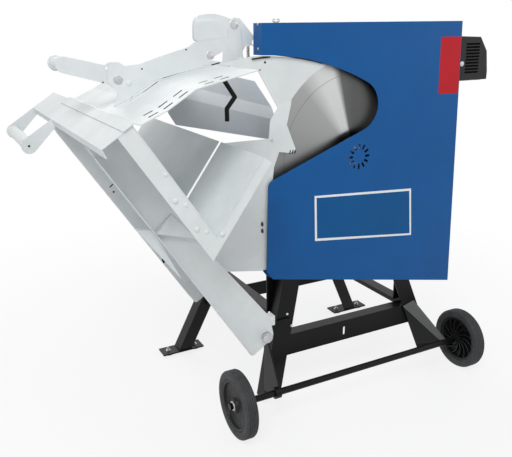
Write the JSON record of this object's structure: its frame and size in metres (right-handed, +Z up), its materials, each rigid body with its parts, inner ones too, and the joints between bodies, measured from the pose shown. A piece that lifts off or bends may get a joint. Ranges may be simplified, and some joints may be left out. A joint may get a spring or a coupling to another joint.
{
  "type": "firewood circular saw",
  "caption": "Firewood circular saw with a rocking log trough, sheet-metal blade housing with an open mouth, direct-drive motor, angle-iron stand and transport wheels.",
  "frame": {"origin": "middle of the saw's footprint, on the ground", "axes": "+X runs along the saw from the trough to the switch box, +Y points away from the operator's side towards the motor, +Z up"},
  "size_m": [1.658, 1.0184, 1.3613],
  "materials": {
    "housing_blue": "satin powder coat",
    "rocker_grey": "satin light grey powder coat",
    "frame_black": "satin black powder coat",
    "blade_steel": "radially brushed",
    "bare_steel": "turned and zinc plated",
    "motor_grey": "painted casting",
    "black_plastic": "fine grain",
    "green_plastic": "gloss",
    "red_plastic": "gloss",
    "rubber": "matte"
  },
  "bodies": {
    "machine": {"blade_housing_front": "housing_blue", "blade_housing_rear": "housing_blue", "motor_front_shield": "motor_grey", "motor_housing": "motor_grey", "motor_rear_shield": "motor_grey", "front_bearing": "bare_steel", "rear_bearing": "bare_steel", "motor_fan_cover": "black_plastic", "terminal_box": "black_plastic", "front_left_leg": "frame_black", "front_right_leg": "frame_black", "rear_left_leg": "frame_black", "rear_right_leg": "frame_black", "front_rail": "frame_black", "left_rail": "frame_black", "right_rail": "frame_black", "rear_rail": "frame_black", "front_pivot_bracket": "frame_black", "pivot_shaft": "bare_steel", "left_housing_upright": "frame_black", "right_housing_upright": "frame_black", "left_foot_plate": "frame_black", "left_foot_pad_outer": "rubber", "left_foot_pad_inner": "rubber", "right_foot_plate": "frame_black", "right_foot_pad_outer": "rubber", "right_foot_pad_inner": "rubber", "left_wheel_bracket": "frame_black", "right_wheel_bracket": "frame_black", "wheel_axle": "frame_black", "switch_box": "black_plastic"},
    "blade": {"saw_blade": "blade_steel", "outer_blade_flange": "bare_steel", "inner_blade_flange": "bare_steel", "arbor_nut": "bare_steel", "arbor_shaft": "bare_steel", "motor_rotor": "bare_steel", "cooling_fan": "black_plastic"},
    "rocker": {"trough_left_sheet": "rocker_grey", "trough_right_plate_near": "rocker_grey", "trough_right_plate_far": "rocker_grey", "trough_end_frame": "rocker_grey", "front_arm_sheet": "rocker_grey", "rear_arm_sheet": "rocker_grey", "blade_guard_plate": "rocker_grey", "rear_guard_sheet": "rocker_grey", "roof_sheet": "rocker_grey", "upright_plate": "rocker_grey", "rounded_cover": "rocker_grey", "claw_spring": "bare_steel", "lower_handle": "rocker_grey"},
    "claw": {"claw_lever": "rocker_grey", "claw_rod": "frame_black"},
    "upper_handle": {"upper_handle": "rocker_grey"},
    "left_wheel": {"left_tyre": "rubber", "left_wheel_hub": "black_plastic"},
    "right_wheel": {"right_tyre": "rubber", "right_wheel_hub": "black_plastic"},
    "start_button": {"start_button": "green_plastic"},
    "stop_button": {"stop_button": "red_plastic"}
  },
  "joints": [
    {"name": "rocker_swing", "type": "hinge", "parent": "machine", "child": "rocker", "pos_m": [-0.1618, -0.24905, 0.30567], "axis": [0, 1, 0], "range_deg": [0, 32]},
    {"name": "blade_spin", "type": "hinge", "parent": "machine", "child": "blade", "pos_m": [0.23254, -0.21405, 0.88667], "axis": [0, 1, 0], "continuous": true},
    {"name": "upper_handle_turn", "type": "hinge", "parent": "rocker", "child": "upper_handle", "pos_m": [-0.57946, -0.18255, 1.18883], "axis": [0, 1, 0], "range_deg": [0, 60]},
    {"name": "claw_swing", "type": "hinge", "parent": "rocker", "child": "claw", "pos_m": [-0.20963, -0.18255, 1.33], "axis": [0, 1, 0], "range_deg": [0, 18], "stiffness_Nm_per_rad": 5, "deforming": ["claw_spring"]},
    {"name": "left_wheel_spin", "type": "hinge", "parent": "machine", "child": "left_wheel", "pos_m": [-0.30296, -0.34705, 0.11667], "axis": [1, 0, 0], "continuous": true},
    {"name": "right_wheel_spin", "type": "hinge", "parent": "machine", "child": "right_wheel", "pos_m": [0.6887, -0.34705, 0.11667], "axis": [1, 0, 0], "continuous": true},
    {"name": "start_button_press", "type": "slide", "parent": "machine", "child": "start_button", "axis": [-1, 0, 0], "range_m": [0, 0.004], "stiffness_N_per_m": 500},
    {"name": "stop_button_press", "type": "slide", "parent": "machine", "child": "stop_button", "axis": [-1, 0, 0], "range_m": [0, 0.004], "stiffness_N_per_m": 500}
  ]
}
